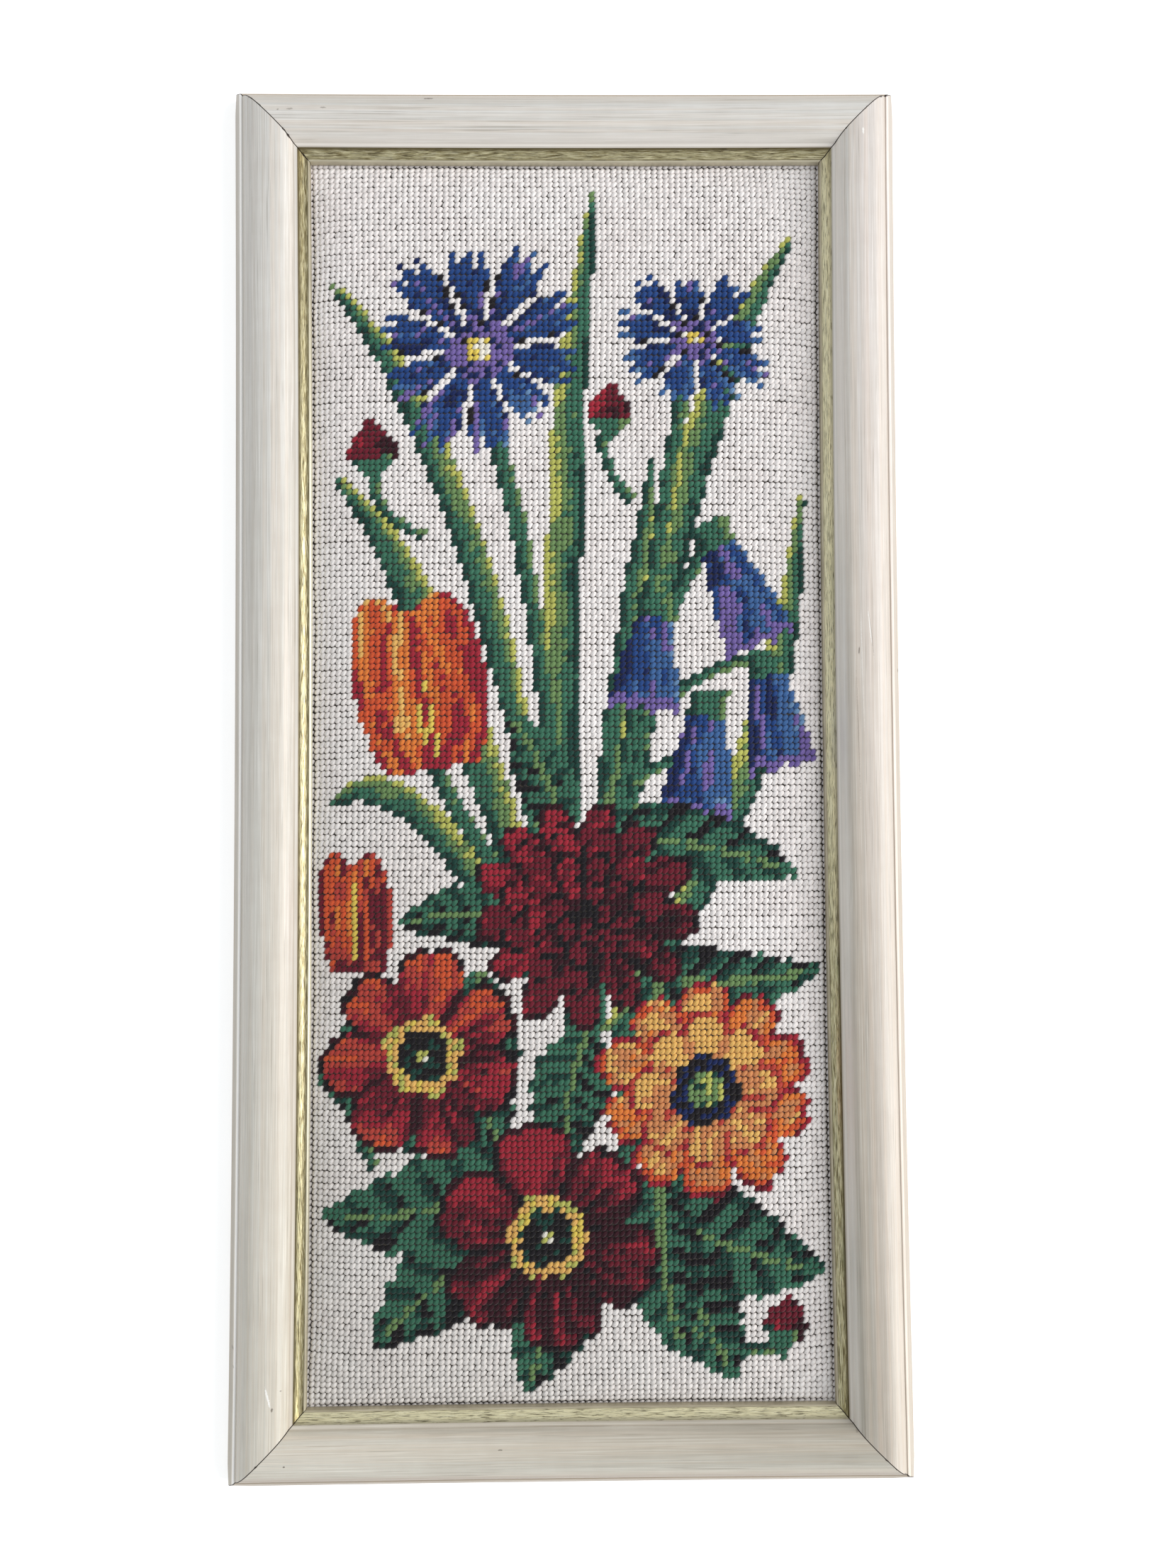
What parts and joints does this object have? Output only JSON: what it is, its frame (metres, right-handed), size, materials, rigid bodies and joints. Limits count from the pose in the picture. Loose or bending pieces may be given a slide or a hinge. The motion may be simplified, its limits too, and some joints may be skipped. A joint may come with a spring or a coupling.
{
  "type": "framed cross-stitch embroidery panel in a mitred wooden frame",
  "caption": "Needlework picture: a wool-stitched flower canvas over a board, held in a mitred ivory and gold wooden frame that lies on its back.",
  "frame": {"origin": "centre of the frame's back, on the surface that the panel lies on", "axes": "+Z out of the picture's face, +Y up the picture, +X to the picture's right as seen from the front"},
  "size_m": [0.2618, 0.541, 0.0186],
  "materials": {
    "stitched_wool": "matt wool stitches, ecru ground with a coloured flower spray",
    "ivory_paint": "streaked ivory paint with a worn gold band beside the sight edge",
    "board_brown": "plain matt pressed board"
  },
  "bodies": {
    "root": {"stitched_canvas": "stitched_wool", "mount_board": "board_brown", "rail_top": "ivory_paint", "rail_bottom": "ivory_paint", "rail_left": "ivory_paint", "rail_right": "ivory_paint"}
  },
  "joints": []
}
